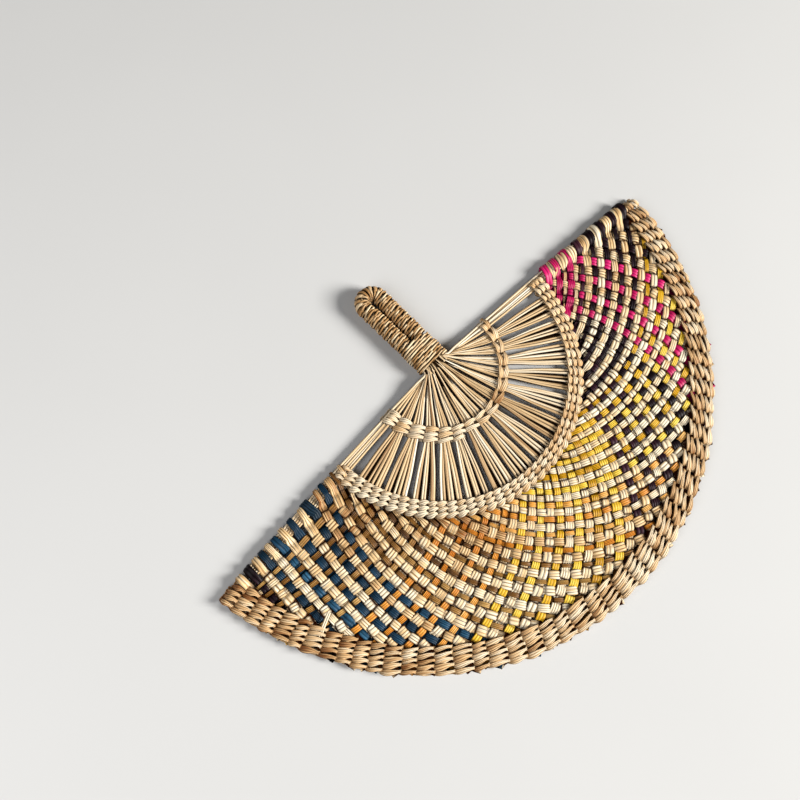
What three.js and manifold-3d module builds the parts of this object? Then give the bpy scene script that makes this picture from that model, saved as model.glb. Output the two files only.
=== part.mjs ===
// A hand-woven half-moon fan. Straws gathered at a neck spread into spokes, twined rows of cord bind
// the spokes into a leaf, dyed strips are woven between the middle band and the rim, and the straws'
// doubled ends make a handle loop that is wound with cord.
// Millimetres. The fan lies face up: +X to its right corner, +Y to the handle, +Z up off the table.
import * as THREE from 'three';
import Module from 'manifold-3d';

const wasm = await Module();
wasm.setup();

// Leaf outline, from the centre of the rim's circle
const RIM_RADIUS = 185;
const NECK_DROP = 9;
const EDGE_SLOPE = 3.9;

// Layers: rows of cord lie under and over the straws, and the weave lies between them
const CORD_HEIGHT = 2.2;
const STRAW_HEIGHT = 2.2;
const WEAVE_HEIGHT = 1.6;
const CLEARANCE = 0.3;

// Twined rows
const RIM_ROWS = 5;
const RIM_CORD = 2.75;
const RIM_STEPS = 24;
const BAND_ROWS = 3;
const BAND_CORD = 2.9;
const BAND_RADIUS = 83;
const BAND_STEPS = 20;
const ARC_ROWS = 2;
const ARC_CORD = 2.7;
const ARC_RADIUS = 39;
const ARC_STEPS = 16;
const HALF_ARC_STEPS = 8;
const HALF_ARC_START = 119;

// Straws
const BUNDLES = 14;
const STRAWS_PER_BUNDLE = 3;
const BUNDLE_WIDTH = 5.6;
const STRAW_WIDTH = 3.2;
const STRAW_THINNING = 0.1;
const ROOT_RADIUS = 9.2;
const EDGE_WIDTH = 6.4;
const EDGE_SETBACK = 4;

// Folds of the weave round the straight edges
const FOLDS = 10;
const FOLD_THICKNESS = 0.9;
const FOLD_GROOVE = 0.5;
const FOLD_GAP = 1.6;
const FOLD_MARGIN = 3;

// Handle
const LEG_OFFSET = 5.9;
const LEG_RADIUS = 5.5;
const LEG_TURNS = 18;
const LEG_PITCH = 1.87;
const BEND_OFFSET = 6.9;
const BEND_SECTION = 4.8;
const BEND_HALF_TURNS = 4.5;
const BEND_EASE = 6;
const WINDING_STOP = 0.25;
const WINDING_STEPS = 8;
const CORD_SIDES = 5;
const CORD_THICKNESS = 1.8;
const CORD_GAP = 0.5;
const COLLAR_TURNS = 10;
const COLLAR_PITCH = 1.75;
const COLLAR_LIFT = 2;
const COLLAR_END_STEPS = 5;
const CORE_SIDES = 8;
const CORE_BEND_STEPS = 8;
const CORE_FOOT = 3;
const ROOT_STEPS = 10;

// Colours
const STRAW_COLOUR = 0xdcc08a;
const ROW_FRONT_COLOUR = 0xd8bc8b;
const ROW_BACK_COLOUR = 0xc9a873;
const WEAVE_COLOUR = 0xb58a4a;
const RIGHT_FOLD_COLOUR = 0xd0146c;
const LEFT_FOLD_COLOUR = 0x24506f;
const WINDING_COLOUR = 0xb8935f;
const CORE_COLOUR = 0xc9a66b;
const STRAW_ROUGHNESS = 0.6;
const CORD_ROUGHNESS = 0.7;

// Heights worked out from the layers
const BACK_LOW = 0;
const BACK_HIGH = BACK_LOW + CORD_HEIGHT;
const STRAW_LOW = BACK_HIGH + CLEARANCE;
const STRAW_HIGH = STRAW_LOW + STRAW_HEIGHT;
const FRONT_LOW = STRAW_HIGH + CLEARANCE;
const FRONT_HIGH = FRONT_LOW + CORD_HEIGHT;
const WEAVE_LOW = STRAW_LOW + (STRAW_HEIGHT - WEAVE_HEIGHT) / 2;
const WEAVE_HIGH = WEAVE_LOW + WEAVE_HEIGHT;
const HANDLE_Z = LEG_RADIUS + CLEARANCE;
const LEG_CORE = coreRadius(LEG_RADIUS);
const BEND_CORE = coreRadius(BEND_SECTION);
const NECK = new THREE.Vector3(0, -NECK_DROP, 0);
const ROW_OVERHANG = EDGE_WIDTH / 2 + CLEARANCE;

const fan = new THREE.Group();

// The core that fits inside the flats of a winding
function coreRadius(outside) {
  return (outside - CORD_THICKNESS) * Math.cos(Math.PI / WINDING_STEPS) - CLEARANCE;
}

function addPart(name, geometry, colour, roughness) {
  const material = new THREE.MeshStandardMaterial({ color: colour, roughness, metalness: 0 });
  const mesh = new THREE.Mesh(geometry, material);
  mesh.name = name;
  fan.add(mesh);
  return mesh;
}

// A closed solid from points and triangles, turned so that its faces point out
function closedSolid(points, triangles) {
  let volume = 0;
  for (const [a, b, c] of triangles) {
    volume += points[a].dot(points[b].clone().cross(points[c]));
  }
  const faces = volume > 0 ? triangles : triangles.map(([a, b, c]) => [a, c, b]);
  const geometry = new THREE.BufferGeometry();
  geometry.setFromPoints(points);
  geometry.setIndex(faces.flat());
  geometry.computeVertexNormals();
  return geometry;
}

// Rings of equal point counts, skinned one to the next: capped at both ends, or closed on itself
function skinRings(rings, closed = false) {
  const sides = rings[0].length;
  const spans = closed ? rings.length : rings.length - 1;
  const triangles = [];
  for (let ring = 0; ring < spans; ring += 1) {
    const here = ring * sides;
    const next = ((ring + 1) % rings.length) * sides;
    for (let side = 0; side < sides; side += 1) {
      const after = (side + 1) % sides;
      triangles.push([here + side, here + after, next + after]);
      triangles.push([here + side, next + after, next + side]);
    }
  }
  if (!closed) {
    const last = (rings.length - 1) * sides;
    for (let side = 1; side < sides - 1; side += 1) {
      triangles.push([0, side + 1, side]);
      triangles.push([last, last + side, last + side + 1]);
    }
  }
  return closedSolid(rings.flat(), triangles);
}

// A flattened six-sided section, flat above and below, across a direction in the plan
function flatSection(centre, across, width, low, high) {
  const middle = (low + high) / 2;
  const outline = [[-2, middle], [-1, low], [1, low], [2, middle], [1, high], [-1, high]];
  return outline.map(([step, z]) => {
    const point = centre.clone().addScaledVector(across, (step * width) / 4);
    return point.setZ(z);
  });
}

// Angles run clockwise in plan from the right corner, round the rim, to the left corner
function outward(degrees) {
  const angle = THREE.MathUtils.degToRad(degrees);
  return new THREE.Vector3(Math.cos(angle), -Math.sin(angle), 0);
}

function arcRow(centre, radius, width, low, high, start, end, steps) {
  const rings = [];
  for (let step = 0; step <= steps; step += 1) {
    const direction = outward(start + ((end - start) * step) / steps);
    const point = centre.clone().addScaledVector(direction, radius);
    rings.push(flatSection(point, direction, width, low, high));
  }
  return skinRings(rings);
}

function toSolid(geometry) {
  return new wasm.Manifold(new wasm.Mesh({
    numProp: 3,
    vertProperties: new Float32Array(geometry.attributes.position.array),
    triVerts: new Uint32Array(geometry.index.array),
  }));
}

function join(geometries) {
  const solid = geometries.map(toSolid).reduce((whole, piece) => whole.add(piece));
  const mesh = solid.getMesh();
  const geometry = new THREE.BufferGeometry();
  geometry.setAttribute('position', new THREE.BufferAttribute(new Float32Array(mesh.vertProperties), 3));
  geometry.setIndex(new THREE.BufferAttribute(new Uint32Array(mesh.triVerts), 1));
  geometry.computeVertexNormals();
  return geometry;
}

// Spokes: each bundle of straws leaves the neck thick and narrow, and parts into straws at the arc
const bundleStep = (180 - 2 * EDGE_SLOPE) / (BUNDLES + 1);
const strawStep = bundleStep / STRAWS_PER_BUNDLE;
const rootStart = ROOT_RADIUS + CLEARANCE;
const rootWidth = rootStart * THREE.MathUtils.degToRad(bundleStep) - CLEARANCE;
const rootLow = HANDLE_Z - LEG_CORE;
const rootHigh = HANDLE_Z + LEG_CORE;
const spread = ARC_RADIUS - CLEARANCE;
const bandWidth = rowsWidth(BAND_ROWS, BAND_CORD);
const bandMiddle = BAND_RADIUS + bandWidth / 2;
const strawEnd = bandMiddle - CLEARANCE / 2;
const sideways = new THREE.Vector3(0, 1, 0);

function rowsWidth(rows, cord) {
  return rows * cord + (rows - 1) * CLEARANCE;
}

function along(distance, offset) {
  return new THREE.Vector3(distance, offset, 0);
}

function strawBundle() {
  const trunkEnd = ARC_RADIUS + rowsWidth(ARC_ROWS + 1, ARC_CORD);
  const trunk = skinRings([
    flatSection(along(rootStart, 0), sideways, rootWidth, rootLow, rootHigh),
    flatSection(along(spread, 0), sideways, BUNDLE_WIDTH, STRAW_LOW, STRAW_HIGH),
    flatSection(along(trunkEnd, 0), sideways, BUNDLE_WIDTH, STRAW_LOW, STRAW_HIGH),
  ]);
  const straws = [];
  const low = STRAW_LOW + STRAW_THINNING;
  const high = STRAW_HIGH - STRAW_THINNING;
  for (let straw = 0; straw < STRAWS_PER_BUNDLE; straw += 1) {
    const place = straw - (STRAWS_PER_BUNDLE - 1) / 2;
    const width = BUNDLE_WIDTH / STRAWS_PER_BUNDLE;
    const swing = THREE.MathUtils.degToRad(place * strawStep);
    const tip = along(strawEnd * Math.cos(swing), strawEnd * Math.sin(swing));
    straws.push(skinRings([
      flatSection(along(ARC_RADIUS, place * width), sideways, width, low, high),
      flatSection(tip, sideways, STRAW_WIDTH, low, high),
    ]));
  }
  return join([trunk, ...straws]);
}

const spoke = strawBundle();
for (let bundle = 1; bundle <= BUNDLES; bundle += 1) {
  const mesh = addPart(`spoke_${bundle}`, spoke, STRAW_COLOUR, STRAW_ROUGHNESS);
  mesh.position.copy(NECK);
  mesh.rotation.z = -THREE.MathUtils.degToRad(EDGE_SLOPE + bundle * bundleStep);
}

// Straight edges: the outermost straws run whole from the neck to the corners of the rim.
// How far along an edge, from the neck, a circle about the rim's centre crosses it
function edgeReach(radius) {
  const slope = THREE.MathUtils.degToRad(EDGE_SLOPE);
  return Math.sqrt(radius ** 2 - (NECK_DROP * Math.cos(slope)) ** 2) - NECK_DROP * Math.sin(slope);
}

const cornerReach = edgeReach(RIM_RADIUS) - EDGE_SETBACK;
const edge = skinRings([
  flatSection(along(rootStart, 0), sideways, rootWidth, rootLow, rootHigh),
  flatSection(along(spread, 0), sideways, BUNDLE_WIDTH, STRAW_LOW, STRAW_HIGH),
  flatSection(along(BAND_RADIUS, 0), sideways, EDGE_WIDTH, STRAW_LOW, STRAW_HIGH),
  flatSection(along(cornerReach, 0), sideways, EDGE_WIDTH, STRAW_LOW, STRAW_HIGH),
]);

// Folds: a ribbed sleeve of strips that turn round the edge straws, between the band and the rim
const foldStart = BAND_RADIUS + bandWidth + FOLD_MARGIN;
const rimInner = RIM_RADIUS - rowsWidth(RIM_ROWS, RIM_CORD);
const foldEnd = edgeReach(rimInner) - FOLD_MARGIN;
const foldPitch = (foldEnd - foldStart + FOLD_GAP) / FOLDS;

// The section's sides slant, so it widens by twice as much as its sides stand off
function sleeveRing(distance, thickness) {
  const grow = CLEARANCE + thickness;
  const width = EDGE_WIDTH + 4 * grow;
  return flatSection(along(distance, 0), sideways, width, STRAW_LOW - grow, STRAW_HIGH + grow);
}

function foldSleeve() {
  const rings = [];
  for (let fold = 0; fold < FOLDS; fold += 1) {
    const start = foldStart + fold * foldPitch;
    const end = start + foldPitch - FOLD_GAP;
    rings.push(sleeveRing(start, FOLD_GROOVE));
    rings.push(sleeveRing(start + FOLD_GAP / 2, FOLD_THICKNESS));
    rings.push(sleeveRing(end - FOLD_GAP / 2, FOLD_THICKNESS));
    rings.push(sleeveRing(end, FOLD_GROOVE));
  }
  rings.push(sleeveRing(foldEnd, 0));
  rings.push(sleeveRing(foldStart, 0));
  return skinRings(rings, true);
}

const sleeve = foldSleeve();
const edgeSides = [
  ['right', EDGE_SLOPE, RIGHT_FOLD_COLOUR],
  ['left', 180 - EDGE_SLOPE, LEFT_FOLD_COLOUR],
];
for (const [side, slope, foldColour] of edgeSides) {
  const straws = addPart(`edge_straws_${side}`, edge, STRAW_COLOUR, STRAW_ROUGHNESS);
  const folds = addPart(`edge_folds_${side}`, sleeve, foldColour, STRAW_ROUGHNESS);
  for (const mesh of [straws, folds]) {
    mesh.position.copy(NECK);
    mesh.rotation.z = -THREE.MathUtils.degToRad(slope);
  }
}

// Twined rows: each has a front cord and a back cord, with the straws or the weave held between them
function twinedRow(name, centre, radius, width, start, end, steps) {
  const back = arcRow(centre, radius, width, BACK_LOW, BACK_HIGH, start, end, steps);
  const front = arcRow(centre, radius, width, FRONT_LOW, FRONT_HIGH, start, end, steps);
  addPart(`${name}_back`, back, ROW_BACK_COLOUR, CORD_ROUGHNESS);
  addPart(`${name}_front`, front, ROW_FRONT_COLOUR, CORD_ROUGHNESS);
}

// The angle where a row of this radius about the neck has crossed the edge straws
function neckRowStart(radius) {
  return EDGE_SLOPE - THREE.MathUtils.radToDeg(ROW_OVERHANG / radius);
}

function rimRowStart(radius) {
  const slope = THREE.MathUtils.degToRad(EDGE_SLOPE);
  const lift = NECK_DROP * Math.cos(slope) - ROW_OVERHANG;
  return EDGE_SLOPE + THREE.MathUtils.radToDeg(Math.asin(lift / radius));
}

function rowRadius(inner, cord, row) {
  return inner + cord / 2 + row * (cord + CLEARANCE);
}

for (let row = 0; row < ARC_ROWS; row += 1) {
  const radius = rowRadius(ARC_RADIUS, ARC_CORD, row);
  const start = neckRowStart(radius);
  twinedRow(`arc_row_${row + 1}`, NECK, radius, ARC_CORD, start, 180 - start, ARC_STEPS);
}
const halfArcRadius = rowRadius(ARC_RADIUS, ARC_CORD, ARC_ROWS);
const halfArcEnd = 180 - neckRowStart(halfArcRadius);
twinedRow('half_arc_row', NECK, halfArcRadius, ARC_CORD, HALF_ARC_START, halfArcEnd, HALF_ARC_STEPS);

for (let row = 0; row < BAND_ROWS; row += 1) {
  const radius = rowRadius(BAND_RADIUS, BAND_CORD, row);
  const start = neckRowStart(radius);
  twinedRow(`band_row_${row + 1}`, NECK, radius, BAND_CORD, start, 180 - start, BAND_STEPS);
}

const rimCentre = new THREE.Vector3();
for (let row = 0; row < RIM_ROWS; row += 1) {
  const radius = rowRadius(rimInner, RIM_CORD, row);
  const start = rimRowStart(radius);
  twinedRow(`rim_row_${row + 1}`, rimCentre, radius, RIM_CORD, start, 180 - start, RIM_STEPS);
}

// Woven field: from the middle of the band to the outer row of the rim, clear of the edge folds
function wovenField() {
  const inner = bandMiddle + CLEARANCE / 2;
  const outer = RIM_RADIUS - RIM_CORD / 2;
  const setback = EDGE_WIDTH / 2 + 2 * (CLEARANCE + FOLD_THICKNESS) + CLEARANCE;
  const slope = THREE.MathUtils.degToRad(EDGE_SLOPE);
  const innerStart = EDGE_SLOPE + THREE.MathUtils.radToDeg(Math.asin(setback / inner));
  const rimLift = setback + NECK_DROP * Math.cos(slope);
  const outerStart = EDGE_SLOPE + THREE.MathUtils.radToDeg(Math.asin(rimLift / outer));
  const rings = [];
  for (let step = 0; step <= RIM_STEPS; step += 1) {
    const share = step / RIM_STEPS;
    const from = outward(THREE.MathUtils.lerp(innerStart, 180 - innerStart, share));
    const to = outward(THREE.MathUtils.lerp(outerStart, 180 - outerStart, share));
    const near = NECK.clone().addScaledVector(from, inner);
    const far = to.multiplyScalar(outer);
    rings.push([
      near.clone().setZ(WEAVE_LOW),
      far.clone().setZ(WEAVE_LOW),
      far.clone().setZ(WEAVE_HIGH),
      near.clone().setZ(WEAVE_HIGH),
    ]);
  }
  return skinRings(rings);
}

addPart('woven_field', wovenField(), WEAVE_COLOUR, STRAW_ROUGHNESS);

// Handle: both legs stand above the collar and meet in a bend that opens a little round its slit
const collarStart = -NECK_DROP + COLLAR_LIFT;
const collarEnd = collarStart + COLLAR_TURNS * COLLAR_PITCH;
const legStart = collarEnd + (COLLAR_PITCH + LEG_PITCH) / 2;
const bendY = legStart + LEG_TURNS * LEG_PITCH;
const windingTurns = LEG_TURNS + BEND_HALF_TURNS - WINDING_STOP;

// A place on the left leg's centre line, counted in turns of its winding
function legPlace(turn) {
  if (turn <= LEG_TURNS) {
    const ease = THREE.MathUtils.smoothstep(turn, LEG_TURNS - BEND_EASE, LEG_TURNS);
    return {
      centre: new THREE.Vector3(-THREE.MathUtils.lerp(LEG_OFFSET, BEND_OFFSET, ease),
        legStart + turn * LEG_PITCH, HANDLE_Z),
      away: new THREE.Vector3(-1, 0, 0),
      radius: THREE.MathUtils.lerp(LEG_RADIUS, BEND_SECTION, ease),
    };
  }
  const angle = (((turn - LEG_TURNS) / BEND_HALF_TURNS) * Math.PI) / 2;
  const away = new THREE.Vector3(-Math.cos(angle), Math.sin(angle), 0);
  return {
    centre: new THREE.Vector3(0, bendY, HANDLE_Z).addScaledVector(away, BEND_OFFSET),
    away,
    radius: BEND_SECTION,
  };
}

function legWinding(turn) {
  const { centre, away, radius } = legPlace(turn);
  const angle = turn * 2 * Math.PI;
  const radial = away.clone().multiplyScalar(Math.cos(angle)).setZ(Math.sin(angle));
  const forward = new THREE.Vector3(away.y, -away.x, 0);
  return { point: centre.addScaledVector(radial, radius - CORD_THICKNESS / 2), radial, forward };
}

// The collar's turns run straight between half rounds over the two legs
function collarWinding(turn) {
  const steps = 2 * COLLAR_END_STEPS;
  const step = Math.round(turn * steps) % steps;
  const onRight = step < COLLAR_END_STEPS;
  const roundStep = Math.PI / (COLLAR_END_STEPS - 1);
  const angle = onRight
    ? Math.PI / 2 - step * roundStep
    : -Math.PI / 2 - (step - COLLAR_END_STEPS) * roundStep;
  const radial = new THREE.Vector3(Math.cos(angle), 0, Math.sin(angle));
  const legX = onRight ? LEG_OFFSET : -LEG_OFFSET;
  const point = new THREE.Vector3(legX, collarStart + turn * COLLAR_PITCH, HANDLE_Z);
  point.addScaledVector(radial, LEG_RADIUS - CORD_THICKNESS / 2);
  return { point, radial, forward: new THREE.Vector3(0, 1, 0) };
}

// A wound cord: as wide as its turns leave room for, with straight ends one cord's thickness long
function woundCord(name, winding, turns, stepsPerTurn) {
  const steps = Math.round(turns * stepsPerTurn);
  const rings = [];
  const cordRing = (place, point, halfWidth) => {
    const ring = [];
    for (let side = 0; side < CORD_SIDES; side += 1) {
      const angle = (side * 2 * Math.PI) / CORD_SIDES;
      const corner = point.clone().addScaledVector(place.radial, (Math.cos(angle) * CORD_THICKNESS) / 2);
      ring.push(corner.addScaledVector(place.forward, Math.sin(angle) * halfWidth));
    }
    return ring;
  };
  const widthAt = (turn) => {
    const neighbours = [turn - 1, turn + 1].filter((other) => other >= 0 && other <= turns);
    const spacings = neighbours.map((other) => winding(other).point.distanceTo(winding(turn).point));
    return (Math.min(...spacings) - CORD_GAP) / 2;
  };
  const straightEnd = (turn, inner) => {
    const place = winding(turn);
    const run = place.point.clone().sub(winding(inner).point).setLength(CORD_THICKNESS);
    return cordRing(place, place.point.clone().add(run), widthAt(turn));
  };
  for (let step = 0; step <= steps; step += 1) {
    const turn = step / stepsPerTurn;
    const place = winding(turn);
    rings.push(cordRing(place, place.point, widthAt(turn)));
  }
  rings.unshift(straightEnd(0, 1 / stepsPerTurn));
  rings.push(straightEnd(steps / stepsPerTurn, (steps - 1) / stepsPerTurn));
  console.log(`${name}: least gap between turns ${leastGap(rings, stepsPerTurn).toFixed(2)} mm`);
  return skinRings(rings);
}

// The least distance between points of the cord that are more than half a turn apart
function leastGap(rings, stepsPerTurn) {
  let least = Infinity;
  rings.forEach((ring, index) => {
    for (const other of rings.slice(index + Math.ceil(stepsPerTurn / 2) + 1)) {
      for (const point of ring) {
        for (const corner of other) {
          least = Math.min(least, point.distanceTo(corner));
        }
      }
    }
  });
  return least;
}

const legCord = woundCord('leg winding', legWinding, windingTurns, WINDING_STEPS);
addPart('handle_winding_left', legCord, WINDING_COLOUR, CORD_ROUGHNESS);
const rightCord = addPart('handle_winding_right', legCord, WINDING_COLOUR, CORD_ROUGHNESS);
rightCord.rotation.y = Math.PI;
rightCord.position.z = 2 * HANDLE_Z;
const collarCord = woundCord('collar winding', collarWinding, COLLAR_TURNS, 2 * COLLAR_END_STEPS);
addPart('collar_winding', collarCord, WINDING_COLOUR, CORD_ROUGHNESS);

// Handle core: the doubled straws inside the windings, ending in the packed root of the spokes
function coreRing(centre, away, radius) {
  const ring = [];
  for (let side = 0; side < CORE_SIDES; side += 1) {
    const angle = ((side + 0.5) * 2 * Math.PI) / CORE_SIDES;
    const point = centre.clone().addScaledVector(away, Math.cos(angle) * radius);
    ring.push(point.setZ(HANDLE_Z + Math.sin(angle) * radius));
  }
  return ring;
}

function handleCore() {
  const left = new THREE.Vector3(-1, 0, 0);
  const right = new THREE.Vector3(1, 0, 0);
  const footY = -NECK_DROP - CORE_FOOT;
  const easeY = legStart + (LEG_TURNS - BEND_EASE) * LEG_PITCH;
  const rings = [];
  rings.push(coreRing(new THREE.Vector3(-LEG_OFFSET, footY, 0), left, LEG_CORE));
  rings.push(coreRing(new THREE.Vector3(-LEG_OFFSET, easeY, 0), left, LEG_CORE));
  for (let step = 0; step <= CORE_BEND_STEPS; step += 1) {
    const angle = (Math.PI * step) / CORE_BEND_STEPS;
    const away = new THREE.Vector3(-Math.cos(angle), Math.sin(angle), 0);
    const centre = new THREE.Vector3(0, bendY, 0).addScaledVector(away, BEND_OFFSET);
    rings.push(coreRing(centre, away, BEND_CORE));
  }
  rings.push(coreRing(new THREE.Vector3(LEG_OFFSET, easeY, 0), right, LEG_CORE));
  rings.push(coreRing(new THREE.Vector3(LEG_OFFSET, footY, 0), right, LEG_CORE));
  return join([skinRings(rings), packedRoot()]);
}

function packedRoot() {
  const outline = [];
  for (let step = 0; step <= ROOT_STEPS; step += 1) {
    const direction = outward((180 * step) / ROOT_STEPS);
    outline.push(NECK.clone().addScaledVector(direction, ROOT_RADIUS));
  }
  const low = rootLow + STRAW_THINNING;
  const high = rootHigh - STRAW_THINNING;
  return skinRings([
    outline.map((point) => point.clone().setZ(low)),
    outline.map((point) => point.clone().setZ(high)),
  ]);
}

addPart('handle_core', handleCore(), CORE_COLOUR, STRAW_ROUGHNESS);

// The origin is under the middle of the fan's box, on the table
const box = new THREE.Box3().setFromObject(fan);
fan.position.y = -(box.min.y + box.max.y) / 2;

export default fan;
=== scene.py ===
# Half-moon hand fan of palm straw: open spokes, twined rows, a dyed weave and a cord-wound handle.
import math
import random

import bmesh
import bpy
from mathutils import Matrix, Vector


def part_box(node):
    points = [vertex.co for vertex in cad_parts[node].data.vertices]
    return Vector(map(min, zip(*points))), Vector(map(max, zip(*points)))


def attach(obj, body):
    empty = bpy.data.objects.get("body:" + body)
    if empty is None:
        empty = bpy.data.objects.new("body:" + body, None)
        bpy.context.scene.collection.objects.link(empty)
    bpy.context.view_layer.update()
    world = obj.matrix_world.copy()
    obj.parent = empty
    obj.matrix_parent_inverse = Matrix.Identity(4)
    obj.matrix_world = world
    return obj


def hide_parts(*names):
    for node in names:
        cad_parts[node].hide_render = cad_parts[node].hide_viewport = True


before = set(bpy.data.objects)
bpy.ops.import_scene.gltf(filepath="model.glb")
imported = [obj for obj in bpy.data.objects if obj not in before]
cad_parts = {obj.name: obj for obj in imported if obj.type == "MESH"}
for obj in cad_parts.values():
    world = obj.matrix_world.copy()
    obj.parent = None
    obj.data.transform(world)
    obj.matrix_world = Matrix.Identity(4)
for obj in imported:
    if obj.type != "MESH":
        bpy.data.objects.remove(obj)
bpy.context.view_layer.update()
mm = 0.001

# lengths are in millimetres in the part's frame; angles run clockwise from the right corner round the rim
leaf = {
    "rimRadius": 185,
    "neckDrop": 9,
    "edgeSlope": 3.9,
    "bundles": 14,
    "strawsHeight": 3.6,
}
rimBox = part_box("rim_row_5_back")
rimCentre = Vector((0, rimBox[0].y / mm + leaf["rimRadius"], 0))
neck = rimCentre - Vector((0, leaf["neckDrop"], 0))
bundleStep = (180 - 2 * leaf["edgeSlope"]) / (leaf["bundles"] + 1)
upright = Vector((0, 0, 1))


def ray(degrees):
    angle = math.radians(degrees)
    return Vector((math.cos(angle), -math.sin(angle), 0))


def ease(value, low, high):
    share = min(max((value - low) / (high - low), 0), 1)
    return share * share * (3 - 2 * share)


def mix(first, last, share):
    return first + (last - first) * share


def edgeDepth(point, side):  # how far a place lies inside the straight edge: side 1 is right, -1 left
    slope = math.radians(leaf["edgeSlope"])
    away = point - neck
    return -(away.y * math.cos(slope) + side * away.x * math.sin(slope))


def linear(hexColour):  # sRGB hex to the linear values that nodes and lamps take
    parts = [int(hexColour[at:at + 2], 16) / 255 for at in (1, 3, 5)]
    return [part / 12.92 if part <= 0.04045 else ((part + 0.055) / 1.055) ** 2.4 for part in parts] + [1]


def addNode(tree, kind, settings=None, values=None, links=None):
    node = tree.nodes.new(kind)
    for key, value in (settings or {}).items():
        setattr(node, key, value)
    for key, value in (values or {}).items():
        node.inputs[key].default_value = value
    for key, source in (links or {}).items():
        tree.links.new(source, node.inputs[key])
    return node


ribWidth = 1.4  # the ribs that palm straw splits along
waveLength = math.pi / 10  # of the wave texture at scale 1
strip = {  # shared by all flat palm strips, which are split two to four ribs wide
    "fibreWidth": 0.55, "fibreLength": 24, "fibreDetail": 3, "fibreBreak": 0.6, "fibreShare": 2.1,
    "blotchWidth": 3, "blotchLength": 12, "blotchDetail": 2, "blotchShare": 0.8, "contrast": 0.55,
    "ribHeight": 0.6, "hollowShare": 1.0, "hollowSpan": (0.05, 0.42),
    "brokenSpan": (0.3, 0.52), "brokenLeast": 0.25,  # blotches break the painted shade lines in the hollows
    "creviceSpan": (0.18, 0.85),  # how much painted shade reads as none, and as fully dark
    "bump": 0.7, "bumpDepth": 0.3, "roughness": 0.48, "roughnessSpread": 0.1, "shine": 0.22,
}


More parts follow.
